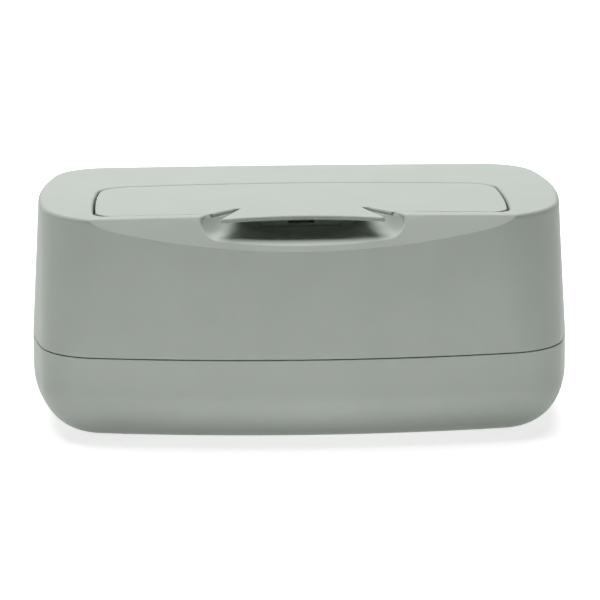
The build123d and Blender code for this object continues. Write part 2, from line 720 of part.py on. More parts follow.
with BuildPart() as plate_screws:
    with Locations([(x, y, PLATE_BOTTOM) for x, y in PLATE_SCREWS]):
        Cylinder(SCREW_HEAD, SCREW_HEAD_HEIGHT, align=(Align.CENTER, Align.CENTER, Align.MIN))
        Cylinder(SCREW_RADIUS, PLATE_COVER + SCREW_BITE, align=(Align.CENTER, Align.CENTER, Align.MIN))
save(plate_screws, "plate_screws")

for name, y in (("weight_front", -PLATE_MIDDLE_Y), ("weight_rear", PLATE_MIDDLE_Y)):
    with BuildPart() as weight:
        with Locations((0, y, COVER_TOP)):
            Box(WEIGHT_LENGTH, WEIGHT_WIDTH, WEIGHT_HEIGHT, align=(Align.CENTER, Align.CENTER, Align.MIN))
    save(weight, name)
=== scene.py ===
# %% [markdown]
# # A countertop wipes dispenser
#
# The dispenser is a sage green moulding in two halves: a shallow tub, and a housing that lifts off
# it. A flush lid with a fishtail tongue is hinged in the housing's top, and a weighted plate inside
# presses down on the wipes. This lesson dresses the engineering solids: it softens their moulded
# edges, builds the small hardware, mixes the plastics, rubbers and metals, and lights it all.

import json
import math

import bmesh
import bpy
from mathutils import Matrix, Vector


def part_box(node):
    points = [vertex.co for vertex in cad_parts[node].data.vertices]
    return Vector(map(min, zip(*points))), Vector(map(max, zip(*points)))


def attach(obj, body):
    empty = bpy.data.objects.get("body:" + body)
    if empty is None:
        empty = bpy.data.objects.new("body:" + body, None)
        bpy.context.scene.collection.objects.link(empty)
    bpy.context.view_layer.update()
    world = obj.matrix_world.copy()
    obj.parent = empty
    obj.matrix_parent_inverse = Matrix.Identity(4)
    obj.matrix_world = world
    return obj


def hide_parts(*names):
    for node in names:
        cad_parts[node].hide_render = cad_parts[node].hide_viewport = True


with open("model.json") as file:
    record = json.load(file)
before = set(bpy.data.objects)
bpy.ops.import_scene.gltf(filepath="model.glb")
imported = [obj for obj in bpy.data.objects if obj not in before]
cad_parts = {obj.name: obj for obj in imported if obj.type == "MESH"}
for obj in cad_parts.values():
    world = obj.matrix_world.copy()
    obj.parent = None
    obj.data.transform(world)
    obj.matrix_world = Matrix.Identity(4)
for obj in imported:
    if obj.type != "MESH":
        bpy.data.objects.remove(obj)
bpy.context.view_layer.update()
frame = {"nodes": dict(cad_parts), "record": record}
MM = 0.001

BODIES = frame["record"]["behaviour"]["bodies"]
BODY = {node: body for body, nodes in BODIES.items() for node in nodes}
SLOT = {row["node"]: row["material_slot"] for row in frame["record"]["subparts"]}
print("nodes:", len(BODY), "slots:", sorted(set(SLOT.values())))

# %% [markdown]
# ## Finishes
#
# Every finish is a small node tree. A moulded plastic is never one flat colour up close: the
# mould's texture gives it a fine grain, and the melt leaves faint clouds of tone and gloss. The
# tree below has three noises: a broad one shifts the tone and the roughness, a fine one is the
# grain of the mould, and a stretched one draws brush marks on metal. All of them read Object
# coordinates, so a pattern has the same size on every piece and stays on it when the piece moves.


# %% A helper that adds one node
def add_node(tree, kind, **inputs):
    """Add a node and set some of its inputs; an underscore in a name stands for a space."""
    node = tree.nodes.new(kind)
    for key, value in inputs.items():
        node.inputs[key.replace("_", " ")].default_value = value
    return node


# %% A helper that builds one finish
CLOUD_SCALE, CLOUD_EDGES = 45.0, (0.35, 0.65)
GLOSS_SWING = 0.05
PIT_SHARE = 0.6  # scale of the pits against that of the grain


def finish(name, color, roughness, grain=0.0, grain_size=0.3, cloud=0.02, brush=(1, 1, 1), **fixed):
    """Principled material: clouds of tone and gloss and a grain; grain and grain_size are in mm."""
    material = bpy.data.materials.new(name)
    material.use_nodes = True
    tree = material.node_tree
    join = tree.links.new
    shader = tree.nodes["Principled BSDF"]
    for key, value in fixed.items():
        shader.inputs[key.replace("_", " ")].default_value = value
    coords = add_node(tree, "ShaderNodeTexCoord").outputs["Object"]

    broad = add_node(tree, "ShaderNodeTexNoise", Scale=CLOUD_SCALE, Detail=4.0)
    join(coords, broad.inputs["Vector"])
    tone = add_node(tree, "ShaderNodeValToRGB")
    low, high = tone.color_ramp.elements
    low.position, high.position = CLOUD_EDGES
    low.color = (*[c * (1 - cloud) for c in color], 1)
    high.color = (*[min(1, c * (1 + cloud)) for c in color], 1)
    join(broad.outputs["Fac"], tone.inputs["Fac"])
    join(tone.outputs["Color"], shader.inputs["Base Color"])

    shiniest, dullest = roughness - GLOSS_SWING, roughness + GLOSS_SWING
    gloss = add_node(tree, "ShaderNodeMapRange", To_Min=shiniest, To_Max=dullest)
    join(broad.outputs["Fac"], gloss.inputs["Value"])
    join(gloss.outputs["Result"], shader.inputs["Roughness"])

    mapping = add_node(tree, "ShaderNodeMapping", Scale=brush)
    join(coords, mapping.inputs["Vector"])
    fine = add_node(tree, "ShaderNodeTexNoise", Scale=1 / (grain_size * MM), Detail=3.0)
    join(mapping.outputs["Vector"], fine.inputs["Vector"])
    pits = add_node(tree, "ShaderNodeTexVoronoi", Scale=PIT_SHARE / (grain_size * MM))
    join(mapping.outputs["Vector"], pits.inputs["Vector"])
    mixed = add_node(tree, "ShaderNodeMath")
    mixed.operation = "ADD"
    join(fine.outputs["Fac"], mixed.inputs[0])
    join(pits.outputs["Distance"], mixed.inputs[1])
    bump = add_node(tree, "ShaderNodeBump", Strength=1.0, Distance=grain * MM)
    join(mixed.outputs["Value"], bump.inputs["Height"])
    join(bump.outputs["Normal"], shader.inputs["Normal"])
    return material


# %% [markdown]
# The two halves and the lid are one sage polypropylene with a fine matt grain. The inner frame, the
# liner and the plate come from other moulds, so they are a little smoother. The seals are pale
# silicone, which lets some light in, the feet are dark rubber, and the clip, weights, pins and
# screws are steel.

# %% Mix the finishes
SAGE = (0.462, 0.505, 0.460)
INNER = (0.44, 0.48, 0.438)
PLATE = (0.48, 0.52, 0.476)
SILICONE = (0.66, 0.70, 0.65)
RUBBER = (0.10, 0.11, 0.10)
STEEL = (0.55, 0.55, 0.56)
SCREW_STEEL = (0.66, 0.66, 0.68)
PLASTIC = {"Specular_IOR_Level": 0.3}
SOFT = {"Subsurface_Weight": 0.15}
METAL = {"Metallic": 1.0}
FINISH = {
    "sage_plastic": finish("sage_plastic", SAGE, 0.52, grain=0.006, grain_size=0.35, **PLASTIC),
    "inner_plastic": finish("inner_plastic", INNER, 0.44, grain=0.004, **PLASTIC),
    "plate_plastic": finish("plate_plastic", PLATE, 0.40, grain=0.004, **PLASTIC),
    "silicone": finish("silicone", SILICONE, 0.55, grain=0.004, cloud=0.03, **SOFT),
    "foot_rubber": finish("foot_rubber", RUBBER, 0.75, grain=0.02, grain_size=0.5, cloud=0.12),
    "steel": finish("steel", STEEL, 0.34, grain=0.004, brush=(0.04, 1, 1), cloud=0.05, **METAL),
    "screw_steel": finish("screw_steel", SCREW_STEEL, 0.28, grain=0.002, cloud=0.04, **METAL),
}
print("finishes:", sorted(FINISH))

# %% [markdown]
# ## Moulded shells
#
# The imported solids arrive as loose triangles. A copy of each one is welded, its flat areas are
# joined to single faces, and it is shaded smooth up to its true edges. The copy then stands for the
# solid, which stays hidden below it for the physics.


# %% Put a finished mesh in the scene
def show(name, mesh, node):
    """The mesh becomes a piece that rides on a node's body and takes that node's finish."""
    piece = bpy.data.objects.new(name, mesh)
    bpy.context.scene.collection.objects.link(piece)
    mesh.materials.clear()
    mesh.materials.append(FINISH[SLOT[node]])
    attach(piece, BODY[node])
    print(f"{name}: {len(mesh.polygons)} faces")
    return piece


def place(name, mesh, *nodes):
    """Show a mesh in the stead of some nodes, with the shading of its flat faces kept flat."""
    piece = show(name, mesh, nodes[0])
    flat = piece.modifiers.new("keep_flats", "WEIGHTED_NORMAL")
    flat.keep_sharp = True
    flat.weight = 80
    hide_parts(*nodes)


# %% Weld a copy of a solid
WELD = 0.002 * MM
FLAT_ANGLE, HARD_ANGLE = math.radians(0.1), math.radians(50)


def welded(node):
    """A copy of a node's mesh with its corners merged and its flat areas joined."""
    work = bmesh.new()
    work.from_mesh(frame["nodes"][node].data)
    bmesh.ops.remove_doubles(work, verts=work.verts, dist=WELD)
    bmesh.ops.dissolve_limit(
        work,
        angle_limit=FLAT_ANGLE,
        verts=work.verts,
        edges=work.edges,
        use_dissolve_boundaries=False,
    )
    return work


def smoothed(work, name, sharp=28.0):
    """Close the work as a mesh, smooth except across edges sharper than an angle in degrees."""
    for face in work.faces:
        face.smooth = True
    for edge in work.edges:
        edge.smooth = edge.is_manifold and edge.calc_face_angle(0) < math.radians(sharp)
    mesh = bpy.data.meshes.new(name)
    work.to_mesh(mesh)
    work.free()
    return mesh


# %% Soften a rim
def soften(work, low, high, width, steps=2, within=None, clamp=True):
    """Round the hard edges between two levels, or only those within a test; sizes are in mm."""
    rim = [
        edge
        for edge in work.edges
        if edge.is_manifold
        and edge.calc_face_angle(0) > HARD_ANGLE
        and all(low * MM < vert.co.z < high * MM for vert in edge.verts)
        and (within is None or all(within(*vert.co.xy / MM) for vert in edge.verts))
    ]
    bmesh.ops.bevel(
        work,
        geom=rim,
        offset=width * MM,
        segments=steps,
        profile=0.5,
        affect="EDGES",
        clamp_overlap=clamp,
    )
    return len(rim)


# %% [markdown]
# The tub and the housing meet in a fine seam at 40 mm. Both of its edges have a small moulded
# radius, and those two radii draw the pale lines above and below the dark gap. The lid's back edge
# sweeps past the opening's two rear corners in the last degrees of its swing, so those corners are
# eased by a hair.

# %% Tub and housing
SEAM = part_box("upper_housing")[0][2] / MM
SEAM_RADIUS = 0.35

tub = welded("base_tub")
print("tub rim edges:", soften(tub, SEAM - 0.6, SEAM - 0.2, SEAM_RADIUS))
place("tub_skin", smoothed(tub, "tub_skin"), "base_tub")

housing = welded("upper_housing")
print("housing rim edges:", soften(housing, SEAM - 0.1, SEAM + 0.1, SEAM_RADIUS))
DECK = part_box("upper_housing")[1][2] / MM
OPENING_CORNER = (89.6, 9.4)
EASE, EASE_REACH, EASE_DEPTH = 0.3, 4.0, 2.5
eased = 0
for vert in housing.verts:
    x, y, z = vert.co / MM
    reach = math.hypot(abs(x) - OPENING_CORNER[0], y - OPENING_CORNER[1]) / EASE_REACH
    if z > DECK - EASE_DEPTH and reach < 1:
        share = EASE * (1 - reach**2) ** 2 * MM
        vert.co.x += math.copysign(share, x)
        vert.co.y += share
        eased += 1
print("eased points:", eased)
place("housing_skin", smoothed(housing, "housing_skin"), "upper_housing")

# %% [markdown]
# The lid's top edge beside the tongue is rounded where a finger slides past it into the scoop.

# %% The scoop's slanted outline, on its right half, in mm
OUTLINE_START, OUTLINE_END = Vector((29.4, -34.0)), Vector((44.7, -50.5))


def from_outline(x, y):
    """How far a point lies inside the slanted outline."""
    along = (OUTLINE_END - OUTLINE_START).normalized()
    return (Vector((x, y)) - OUTLINE_START).dot(Vector((along.y, -along.x)))


def on_scoop_outline(x, y):
    """True where the lid's edge is the slanted side of the finger scoop."""
    near_x = OUTLINE_START.x - 1.4 < abs(x) < OUTLINE_END.x + 0.2
    near_y = OUTLINE_END.y + 0.5 < y < OUTLINE_START.y + 1.0
    return near_x and near_y and abs(from_outline(abs(x), y)) < 2.0


# %% Lid
RIM_ROUND = 1.5
lid = welded("lid_shell")
low, high = DECK - 0.05, DECK + 0.05
edges = soften(lid, low, high, RIM_ROUND, steps=5, within=on_scoop_outline, clamp=False)
for vert in lid.verts:
    vert.co.z = min(vert.co.z, DECK * MM)
print("lid edges beside the tongue:", edges)
place("lid_skin", smoothed(lid, "lid_skin"), "lid_shell")

# %% [markdown]
# ## Inner mouldings
#
# The frame under the lid, the liner, the pressing plate and its cover are plain injection mouldings
# with crisp edges, so they get the same weld and shading without a softened rim.

# %% Frame, liner, plate and cover
for node in ("inner_frame", "lid_liner", "plate_shell", "plate_cover"):
    place(f"{node}_skin", smoothed(welded(node), f"{node}_skin"), node)

# %% [markdown]
# ## Rim seal and weights
#
# The rim seal is a thin silicone cord pressed on the tub's inner rim, round on top where the
# housing closes on it. The two weights are sawn steel bars with broken edges. Both are welded
# copies whose hard edges are rounded.

# %% Rim seal
seal = welded("rim_seal")
seal_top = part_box("rim_seal")[1][2] / MM
print("seal edges:", soften(seal, seal_top - 0.1, seal_top + 0.1, 0.35, steps=3))
place("rim_seal_cord", smoothed(seal, "rim_seal_cord", 60), "rim_seal")

# %% Weights and clip
for node, width in (("weight_front", 0.5), ("weight_rear", 0.5), ("catch_clip", 0.15)):
    bar = welded(node)
    low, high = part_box(node)
    print(node, "edges:", soften(bar, low[2] / MM - 1, high[2] / MM + 1, width))
    place(f"{node}_bar", smoothed(bar, f"{node}_bar", 40), node)


# %% [markdown]
# ## Turned pieces
#
# Pins, feet and screws are round, so each begins as a profile that is spun about the upright axis.
# The spin closes on itself, its doubles are merged, and its faces are turned outwards.


# %% A lathe
def turned(profile, steps=40):
    """A closed round mesh spun from (radius, height) points in mm, from lower to upper pole."""
    work = bmesh.new()
    verts = [work.verts.new((radius * MM, 0, height * MM)) for radius, height in profile]
    edges = [work.edges.new(pair) for pair in zip(verts, verts[1:])]
    bmesh.ops.spin(
        work,
        geom=verts + edges,
        cent=(0, 0, 0),
        axis=(0, 0, 1),
        angle=2 * math.pi,
        steps=steps,
        use_duplicate=False,
    )
    bmesh.ops.remove_doubles(work, verts=work.verts, dist=0.001 * MM)
    bmesh.ops.recalc_face_normals(work, faces=work.faces)
    return work


# %% Hinge pins
PIN_CHAMFER = 0.25
for node in ("hinge_pin_left", "hinge_pin_right"):
    low, high = [Vector(corner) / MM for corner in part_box(node)]
    radius, length = (high.z - low.z) / 2, high.x - low.x
    inner = radius - PIN_CHAMFER
    profile = [(0, 0), (inner, 0), (radius, PIN_CHAMFER)]
    profile += [(radius, length - PIN_CHAMFER), (inner, length), (0, length)]
    pin = turned(profile)
    lie = Matrix.Translation(Vector((low.x, (low.y + high.y) / 2, (low.z + high.z) / 2)) * MM)
    bmesh.ops.transform(pin, matrix=lie @ Matrix.Rotation(math.pi / 2, 4, "Y"), verts=pin.verts)
    place(f"{node}_turned", smoothed(pin, f"{node}_turned"), node)


# %% [markdown]
# ## A Geometry Nodes tree that sets copies of a piece in its places
#
# Four feet and ten screws are copies of three shapes. One tree puts a copy of a template on every
# point of a small mesh and turns each by a random angle, as a fitter leaves screws. The seed is
# fixed, so the angles are the same in every run. Realize Instances and Set Material come last.


# %% The tree
def setting_tree():
    """Node group: copies of a template object on the points of the mesh that it runs on."""
    tree = bpy.data.node_groups.new("set_copies", "GeometryNodeTree")
    tree.interface.new_socket("Places", in_out="INPUT", socket_type="NodeSocketGeometry")
    for name, kind in (
        ("Template", "NodeSocketObject"),
        ("Largest Turn", "NodeSocketFloat"),
        ("Seed", "NodeSocketInt"),
        ("Finish", "NodeSocketMaterial"),
    ):
        tree.interface.new_socket(name, in_out="INPUT", socket_type=kind)
    tree.interface.new_socket("Pieces", in_out="OUTPUT", socket_type="NodeSocketGeometry")
    join = tree.links.new
    given = tree.nodes.new("NodeGroupInput").outputs
    template = tree.nodes.new("GeometryNodeObjectInfo")
    turn = tree.nodes.new("FunctionNodeRandomValue")
    turn.data_type = "FLOAT"
    spin = tree.nodes.new("ShaderNodeCombineXYZ")
    copies = tree.nodes.new("GeometryNodeInstanceOnPoints")
    real = tree.nodes.new("GeometryNodeRealizeInstances")
    paint = tree.nodes.new("GeometryNodeSetMaterial")
    result = tree.nodes.new("NodeGroupOutput")
    join(given["Template"], template.inputs["Object"])
    join(given["Largest Turn"], [s for s in turn.inputs if s.name == "Max" and s.type == "VALUE"][0])
    join(given["Seed"], turn.inputs["Seed"])
    join([s for s in turn.outputs if s.type == "VALUE"][0], spin.inputs["Z"])
    join(given["Places"], copies.inputs["Points"])
    join(template.outputs["Geometry"], copies.inputs["Instance"])
    join(spin.outputs["Vector"], copies.inputs["Rotation"])
    join(copies.outputs["Instances"], real.inputs["Geometry"])
    join(real.outputs["Geometry"], paint.inputs["Geometry"])
    join(given["Finish"], paint.inputs["Material"])
    join(paint.outputs["Geometry"], result.inputs["Pieces"])
    return tree


# %% Run a tree and keep its result as a plain mesh
def inputs_of(tree):
    """The tree's own inputs, by name."""
    sockets = tree.interface.items_tree
    return {item.name: item.identifier for item in sockets if item.in_out == "INPUT"}


def grown(name, tree, base, **settings):
    """Run a node tree on a mesh with some of its inputs set, and give back a plain mesh."""
    holder = bpy.data.objects.new(name, base)
    bpy.context.scene.collection.objects.link(holder)
    modifier = holder.modifiers.new(name, "NODES")
    modifier.node_group = tree
    sockets = inputs_of(tree)
    for key, value in settings.items():
        modifier[sockets[key.replace("_", " ")]] = value
    graph = bpy.context.evaluated_depsgraph_get()
    mesh = bpy.data.meshes.new_from_object(holder.evaluated_get(graph))
    mesh.name = name
    bpy.data.objects.remove(holder)
    return mesh


SEED = 7


def copies_at(name, template, places, slot, largest_turn=0.0):
    """Copies of a template mesh at places given in mm."""
    points = bpy.data.meshes.new(f"{name}_places")
    points.from_pydata([Vector(place) * MM for place in places], [], [])
    model = bpy.data.objects.new(f"{name}_template", template)
    mesh = grown(
        name,
        SET_COPIES,
        points,
        Template=model,
        Largest_Turn=largest_turn,
        Seed=SEED,
        Finish=FINISH[slot],
    )
    bpy.data.objects.remove(model)
    return mesh


SET_COPIES = setting_tree()
print("tree inputs:", list(inputs_of(SET_COPIES)))


# %% Find the places
def centres(node):
    """Middle of each loose solid of a node, at the node's lowest level, in mm."""
    work = bmesh.new()
    work.from_mesh(frame["nodes"][node].data)
    bmesh.ops.remove_doubles(work, verts=work.verts, dist=WELD)
    left, found = set(work.verts), []
    while left:
        solid, front = set(), [left.pop()]
        while front:
            vert = front.pop()
            solid.add(vert)
            near = {edge.other_vert(vert) for edge in vert.link_edges} & left
            left -= near
            front += near
        x, y, z = [[vert.co[axis] for vert in solid] for axis in range(3)]
        found.append([(min(x) + max(x)) / 2 / MM, (min(y) + max(y)) / 2 / MM, min(z) / MM])
    work.free()
    return sorted(found)


# %% [markdown]
# ## Feet
#
# Each foot is a rubber disc stuck in a shallow seat. Its underside is turned with three ridges,
# which grip a counter better than a flat face, and its lower edge is round.

# %% Feet
FEET = ["foot_front_left", "foot_front_right", "foot_rear_left", "foot_rear_right"]
low, high = [Vector(corner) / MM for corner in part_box(FEET[0])]
radius, height = (high.x - low.x) / 2, high.z - low.z
GROOVE, RIDGE_FOOT, RIDGE_CREST, CREST_DROP = 0.35, 0.5, 0.35, 0.04
profile = [(0, GROOVE)]
for ridge in (1.9, 3.5, 5.1):
    profile += [(ridge - RIDGE_FOOT, GROOVE), (ridge - RIDGE_CREST, CREST_DROP), (ridge, 0)]
    profile += [(ridge + RIDGE_CREST, CREST_DROP), (ridge + RIDGE_FOOT, GROOVE)]
profile += [(radius - 1.0, GROOVE), (radius - 0.85, CREST_DROP), (radius - 0.3, 0)]
profile += [(radius - 0.1, 0.08), (radius, 0.3)]
profile += [(radius, height - 0.1), (radius - 0.1, height), (0, height)]
foot = smoothed(turned(profile, 56), "foot")
feet = copies_at("feet", foot, [centres(node)[0] for node in FEET], "foot_rubber")
place("feet_ridged", feet, *FEET)


# %% [markdown]
# ## Screws
#
# The screws are self-tapping, with a low domed head, a cross recess and a coarse thread with a
# point. The thread is a row of ridges in the turned profile. The recess is made by lowering the
# points of the head that lie on a cross. The long ones hold the frame, the short ones the plate's
# cover.


# %% One screw, head down
RECESS_HALF, RECESS_REACH, RECESS_DEPTH = 0.32, 1.2, 0.75


def screw(name, length, head=2.4, head_height=1.2, shank=1.2, pitch=0.8):
    """A self-tapping screw that stands on its head; all sizes in mm."""
    rings = (0.0, 0.28, 0.34, 0.62, 0.9, 1.16, 1.24)
    profile = [(ring, 0) for ring in rings]
    profile += [(head - 0.75, 0.04), (head - 0.3, 0.2), (head - 0.06, 0.5)]
    profile += [(head, 0.8), (head, head_height)]
    core, level = shank - 0.28, head_height
    profile += [(shank, level), (shank, level + 0.4)]
    level += 0.4
    while level + pitch < length - 1.0:
        profile += [(core, level + 0.3), (core, level + 0.45)]
        profile += [(shank, level + 0.6), (shank, level + 0.66)]
        level += pitch
    profile += [(core, level + 0.3), (0.25, length - 0.1), (0, length)]
    work = turned(profile, 48)
    for vert in work.verts:
        x, y, z = vert.co / MM
        across, along = sorted((abs(x), abs(y)))
        if z < 0.01 and across < RECESS_HALF and along < RECESS_REACH:
            vert.co.z += RECESS_DEPTH * (1 - 0.25 * along) * MM
    return smoothed(work, name, 35)


# %% Set the screws
for node in ("frame_screws", "plate_screws"):
    low, high = [Vector(corner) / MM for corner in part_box(node)]
    template = screw(f"{node}_one", high.z - low.z)
    places = centres(node)
    mesh = copies_at(f"{node}_set", template, places, "screw_steel", largest_turn=math.pi / 2)
    place(f"{node}_threaded", mesh, node)
    print(node, "at", [[round(v, 1) for v in spot] for spot in places])


# %% [markdown]
# ## Lid seal
#
# The silicone ring that hangs from the liner closes on the frame round the aperture. A seal like
# this follows a path, so a tree draws the rounded path, gives it a rounded section, and sweeps one
# along the other. Its overall sizes are read from the solid that it stands for.


# %% A tree that sweeps a seal
def seal_tree():
    """Node group: a rounded rectangular ring with a rounded section, flat in the XY plane."""
    tree = bpy.data.node_groups.new("swept_seal", "GeometryNodeTree")
    tree.interface.new_socket("Base", in_out="INPUT", socket_type="NodeSocketGeometry")
    for name in ("Length", "Depth", "Corner", "Section Width", "Section Height", "Section Corner"):
        tree.interface.new_socket(name, in_out="INPUT", socket_type="NodeSocketFloat")
    tree.interface.new_socket("Middle", in_out="INPUT", socket_type="NodeSocketVector")
    tree.interface.new_socket("Finish", in_out="INPUT", socket_type="NodeSocketMaterial")
    tree.interface.new_socket("Seal", in_out="OUTPUT", socket_type="NodeSocketGeometry")
    join = tree.links.new
    given = tree.nodes.new("NodeGroupInput").outputs

    def rounded(width, height, corner, count):
        """A rectangle curve whose corners are arcs."""
        box = tree.nodes.new("GeometryNodeCurvePrimitiveQuadrilateral")
        join(given[width], box.inputs["Width"])
        join(given[height], box.inputs["Height"])
        arcs = tree.nodes.new("GeometryNodeFilletCurve")
        arcs.mode = "POLY"
        arcs.inputs["Count"].default_value = count
        join(box.outputs["Curve"], arcs.inputs["Curve"])
        join(given[corner], arcs.inputs["Radius"])
        return arcs.outputs["Curve"]

    sweep = tree.nodes.new("GeometryNodeCurveToMesh")
    join(rounded("Length", "Depth", "Corner", 16), sweep.inputs["Curve"])
    section = rounded("Section Width", "Section Height", "Section Corner", 6)
    join(section, sweep.inputs["Profile Curve"])
    move = tree.nodes.new("GeometryNodeTransform")
    join(sweep.outputs["Mesh"], move.inputs["Geometry"])
    join(given["Middle"], move.inputs["Translation"])
    real = tree.nodes.new("GeometryNodeRealizeInstances")
    paint = tree.nodes.new("GeometryNodeSetMaterial")
    result = tree.nodes.new("NodeGroupOutput")
    join(move.outputs["Geometry"], real.inputs["Geometry"])
    join(real.outputs["Geometry"], paint.inputs["Geometry"])
    join(given["Finish"], paint.inputs["Material"])
    join(paint.outputs["Geometry"], result.inputs["Seal"])
    return tree


# %% Sweep the lid seal
SEAL_WIDTH, SEAL_CORNER, BEAD_CORNER = 2.4, 12.0, 0.9
low, high = [Vector(corner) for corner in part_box("lid_seal")]
size = high - low
ring = grown(
    "lid_seal_ring",
    seal_tree(),
    bpy.data.meshes.new("nothing"),
    Length=size.x - SEAL_WIDTH * MM,
    Depth=size.y - SEAL_WIDTH * MM,
    Corner=(SEAL_CORNER - SEAL_WIDTH / 2) * MM,
    Section_Width=SEAL_WIDTH * MM,
    Section_Height=size.z,
    Section_Corner=BEAD_CORNER * MM,
    Middle=(low + high) / 2,
    Finish=FINISH["silicone"],
)
work = bmesh.new()
work.from_mesh(ring)
bmesh.ops.recalc_face_normals(work, faces=work.faces)
print("seal box in mm:", [round(v / MM, 2) for v in size], "swept points:", len(work.verts))
place("lid_seal_swept", smoothed(work, "lid_seal_swept", 50), "lid_seal")

# %% [markdown]
# ## Flanks of the finger scoop
#
# At each side of the scoop the plastic falls in a slope from the deck to the scoop's floor and runs
# into the floor in a soft hollow. The slope follows a rule: it drops steadily with the distance
# from the slanted outline, and a smooth maximum blends it into the floor. A height over a fine grid
# is the plainest way to draw such a surface. Its borders are sunk into the walls of the scoop.

# %% Levels of the scoop, in mm
SCOOP_FLOOR = DECK - 10.6
SWEEP = 350.0  # radius in which the floor rises from its middle to each side
FALL, FALL_EASE = 1.3, 0.068  # how steeply the slope starts, and how it eases
FALL_LENGTH, RUN_OUT = 9.5, 0.12  # where it has eased, and its fall from there on
BLEND = 2.6
CREST = DECK - 0.45 * RIM_ROUND
LIP_DROP, MIDDLE_DROP, MOUTH_DROP = 2.7, 4.0, 0.3
FACET_FRONT, FACET_BOW, FACET_SLOPE = 50.2, 2185.0, 1.2975
FACET_COVER = 0.12
LID_UNDER, LID_FRONT, LID_CLEAR = DECK - 2.2, -45.3, 0.15


def smooth_step(value, low, high):
    """Zero below low, one above high, and a soft passage between them."""
    share = min(max((value - low) / (high - low), 0.0), 1.0)
    return share * share * (3 - 2 * share)


def ground_level(x):
    """Level of the scoop's floor, which rises to the sides."""
    return SCOOP_FLOOR + x * x / (2 * SWEEP)


def flank_height(x, y):
    """Level of the flank over a point of the scoop's right half."""
    distance = from_outline(x, y)
    fallen = min(distance, FALL_LENGTH)
    slope = FALL * fallen - FALL_EASE * fallen**2 + RUN_OUT * max(distance - FALL_LENGTH, 0)
    lip = LIP_DROP * smooth_step(-y, 47, 61) * (1 - smooth_step(x, 37, 46))
    lip += MIDDLE_DROP * (1 - smooth_step(x, 8, 29))
    mouth = MOUTH_DROP * smooth_step(-y, 45, 50)
    over = CREST - slope - lip - mouth - ground_level(x)
    if abs(over) < BLEND:
        over = (over + BLEND) ** 2 / (4 * BLEND)
    facet = DECK - max(-y - FACET_FRONT + x * x / FACET_BOW, 0) / FACET_SLOPE
    lid_edge = DECK
    if y > LID_FRONT - 0.4:
        lid_edge = LID_UNDER - LID_CLEAR + 4 * max(distance - LID_CLEAR, 0)
    return min(
        ground_level(x) + max(over, 0.0) - 0.06,
        facet - FACET_COVER,
        lid_edge,
        DECK - 0.3 + min(distance, 0),
    )


# %% Build both flanks
GRID_STEP = 0.5
GRID_START, GRID_SIZE = (9, -33), (37, 31)
SUNK, OUTER_END = 1.2, 45.7  # how far the block runs into the scoop's walls
BLOCK_DEPTH, LEAST_DEPTH = 1.3, 0.4


def columns_of(work, side, under):
    """Points of the flank's upper skin, or of its underside, by their place in the grid."""
    points = {}
    for i in range(int(GRID_SIZE[0] / GRID_STEP) + 1):
        for j in range(int(GRID_SIZE[1] / GRID_STEP) + 1):
            x, y = GRID_START[0] + i * GRID_STEP, GRID_START[1] - j * GRID_STEP
            if from_outline(x, y) < -SUNK or x > OUTER_END:
                continue
            level = flank_height(x, y)
            if under:
                level = min(ground_level(x) - BLOCK_DEPTH, level - LEAST_DEPTH)
            points[i, j] = work.verts.new((side * x * MM, y * MM, level * MM))
    return points


def flank(work, side):
    """Closed block under the flank surface on one side."""
    upper, lower = columns_of(work, side, under=False), columns_of(work, side, under=True)
    used = {}
    for i, j in upper:
        ring = [(i, j), (i + 1, j), (i + 1, j + 1), (i, j + 1)]
        if all(key in upper for key in ring):
            work.faces.new([upper[key] for key in ring])
            work.faces.new([lower[key] for key in reversed(ring)])
            for pair in zip(ring, ring[1:] + ring[:1]):
                used[pair] = True
    for a, b in used:
        if (b, a) not in used:
            work.faces.new([upper[b], upper[a], lower[a], lower[b]])
    loose = [vert for vert in work.verts if not vert.link_faces]
    bmesh.ops.delete(work, geom=loose, context="VERTS")


work = bmesh.new()
for side in (-1, 1):
    flank(work, side)
bmesh.ops.recalc_face_normals(work, faces=work.faces)
show("scoop_flanks", smoothed(work, "scoop_flanks", 60), "upper_housing")

# %% Paint the nodes that are hidden under their pieces
for node, solid in frame["nodes"].items():
    solid.data.materials.clear()
    solid.data.materials.append(FINISH[SLOT[node]])

# %% [markdown]
# ## Stage
#
# The studio is a pale floor and a white surround. Camera, glossy and transmission rays see them
# white, and all other rays see a dim world, so the background stays clean without bleaching the
# plastic. The floor is a little see-through to its own shade: most of its white glows, and the rest
# is lit paper, which keeps a faint shadow under the dispenser.

# %% Floor and world
WHITE = (1.0, 1.0, 1.0, 1.0)
PAPER = (0.80, 0.80, 0.80, 1)
DIM = 0.02
GLOW = 0.72
FADE_START, FADE_END = 0.35, 0.90  # metres from the middle, between which the glow rises to white
FLOOR_SIZE = 6.0


def seen_directly(tree):
    """A factor that is one for camera, glossy and transmission rays."""
    path = tree.nodes.new("ShaderNodeLightPath")
    total = path.outputs["Is Camera Ray"]
    for kind in ("Is Glossy Ray", "Is Transmission Ray"):
        most = tree.nodes.new("ShaderNodeMath")
        most.operation = "MAXIMUM"
        tree.links.new(total, most.inputs[0])
        tree.links.new(path.outputs[kind], most.inputs[1])
        total = most.outputs["Value"]
    return total


world = bpy.data.worlds.new("studio")
world.use_nodes = True
bpy.context.scene.world = world
tree = world.node_tree
dim = tree.nodes["Background"]
dim.inputs["Color"].default_value = WHITE
dim.inputs["Strength"].default_value = DIM
backdrop = add_node(tree, "ShaderNodeBackground", Color=WHITE, Strength=1.0)
choice = tree.nodes.new("ShaderNodeMixShader")
tree.links.new(seen_directly(tree), choice.inputs["Fac"])
tree.links.new(dim.outputs["Background"], choice.inputs[1])
tree.links.new(backdrop.outputs["Background"], choice.inputs[2])
tree.links.new(choice.outputs["Shader"], tree.nodes["World Output"].inputs["Surface"])

